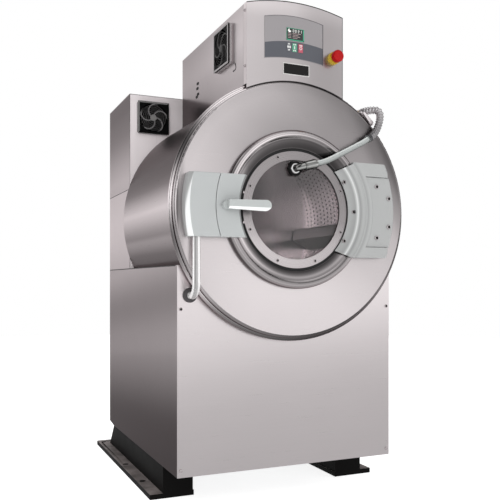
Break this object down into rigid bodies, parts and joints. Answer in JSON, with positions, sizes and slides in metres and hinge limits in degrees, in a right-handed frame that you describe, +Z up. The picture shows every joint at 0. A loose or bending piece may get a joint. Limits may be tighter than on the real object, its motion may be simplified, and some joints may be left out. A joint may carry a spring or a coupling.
{
  "type": "washer-extractor",
  "caption": "Front-loading industrial washer-extractor on floor rails, with a swinging glass door, latch handle, belt-driven drum, control tower and cooling fans.",
  "frame": {"origin": "on the floor, at the middle of the rectangle of the four corner anchor holes", "axes": "+X to the machine's right seen from the front, +Y to its back, +Z up"},
  "size_m": [0.877, 1.185, 1.666],
  "materials": {
    "stainless": "satin",
    "polished": "polished",
    "black_paint": "satin",
    "grey_paint": "satin",
    "pale_steel": "satin",
    "frame_paint": "satin",
    "iron": "matt",
    "bright_steel": "ground",
    "rubber": "matt",
    "glass": "clear",
    "display": "gloss",
    "overlay": "satin",
    "black_plastic": "satin",
    "board": "matt",
    "white_key": "satin",
    "green_key": "satin",
    "red_key": "satin",
    "red_button": "gloss",
    "yellow_collar": "gloss",
    "pale_tube": "satin",
    "copper_line": "plain"
  },
  "bodies": {
    "cabinet": {"left_base_rail": "black_paint", "right_base_rail": "black_paint", "main_frame": "frame_paint", "base_front_panel": "stainless", "left_side_panel": "stainless", "right_side_panel": "stainless", "base_back_panel": "stainless", "rear_housing_skirt": "stainless", "rear_housing_hood": "stainless", "rear_housing_front": "stainless", "tub_shell": "stainless", "rim_gasket": "rubber", "tub_front_plate": "stainless", "bearing_housing": "iron", "shaft_bearings": "bright_steel", "drive_motor": "frame_paint", "drive_belts": "rubber", "control_hood": "stainless", "control_front_panel": "stainless", "control_overlay": "overlay", "display_window": "display", "control_board": "board", "estop_collar": "yellow_collar", "rear_fan_frame": "black_plastic", "side_fan_frame": "black_plastic", "hinge_block": "grey_paint", "hinge_pin": "bright_steel", "latch_housing": "grey_paint", "lock_conduit": "stainless", "conduit_grommet": "rubber", "spray_hose": "pale_tube", "spray_supply_pipe": "copper_line", "spray_bracket": "polished", "drain_valve": "black_plastic", "water_valves": "copper_line", "cabinet_screws": "polished"},
    "door": {"door_pan": "polished", "door_gasket": "rubber", "door_glass": "glass", "glass_seal": "rubber", "retaining_ring": "pale_steel", "hinge_arm": "grey_paint", "latch_bracket": "grey_paint", "spray_nut": "black_plastic", "spray_elbow": "polished", "spray_tube": "pale_tube", "door_screws": "polished"},
    "handle": {"latch_handle": "grey_paint"},
    "drum": {"drum_shell": "stainless", "drum_lifters": "stainless", "drum_trunnion": "iron", "drum_pulley": "iron"},
    "motor_rotor": {"motor_pulley": "iron"},
    "emergency_stop": {"estop_button": "red_button"},
    "select_button": {"select_key": "white_key"},
    "start_button": {"start_key": "green_key"},
    "stop_button": {"stop_key": "red_key"},
    "rear_fan": {"rear_fan_rotor": "black_plastic"},
    "side_fan": {"side_fan_rotor": "black_plastic"}
  },
  "joints": [
    {"name": "door_hinge", "type": "hinge", "parent": "cabinet", "child": "door", "pos_m": [0.32, -0.7525, 0.9762], "axis": [0, 0, 1], "range_deg": [0, 115], "deforming": ["spray_hose"]},
    {"name": "handle_pivot", "type": "hinge", "parent": "door", "child": "handle", "pos_m": [-0.272, -0.7745, 0.9762], "axis": [0, -1, 0], "range_deg": [0, 60]},
    {"name": "drum_spin", "type": "hinge", "parent": "cabinet", "child": "drum", "pos_m": [0, 0, 0.9762], "axis": [0, 1, 0], "continuous": true},
    {"name": "motor_spin", "type": "hinge", "parent": "cabinet", "child": "motor_rotor", "pos_m": [0, 0, 0.33], "axis": [0, 1, 0], "continuous": true},
    {"name": "estop_press", "type": "slide", "parent": "cabinet", "child": "emergency_stop", "axis": [0, 1, 0], "range_m": [0, 0.006], "stiffness_N_per_m": 900},
    {"name": "select_press", "type": "slide", "parent": "cabinet", "child": "select_button", "axis": [0, 1, 0], "range_m": [0, 0.0012], "stiffness_N_per_m": 1500},
    {"name": "start_press", "type": "slide", "parent": "cabinet", "child": "start_button", "axis": [0, 1, 0], "range_m": [0, 0.0012], "stiffness_N_per_m": 1500},
    {"name": "stop_press", "type": "slide", "parent": "cabinet", "child": "stop_button", "axis": [0, 1, 0], "range_m": [0, 0.0012], "stiffness_N_per_m": 1500},
    {"name": "rear_fan_spin", "type": "hinge", "parent": "cabinet", "child": "rear_fan", "pos_m": [-0.306, -0.0745, 1.394], "axis": [0, -1, 0], "continuous": true},
    {"name": "side_fan_spin", "type": "hinge", "parent": "cabinet", "child": "side_fan", "pos_m": [-0.18, -0.5345, 1.548], "axis": [-1, 0, 0], "continuous": true}
  ],
  "couplings": [
    {"joint": "motor_spin", "follows": "drum_spin", "ratio": 4.3742}
  ]
}
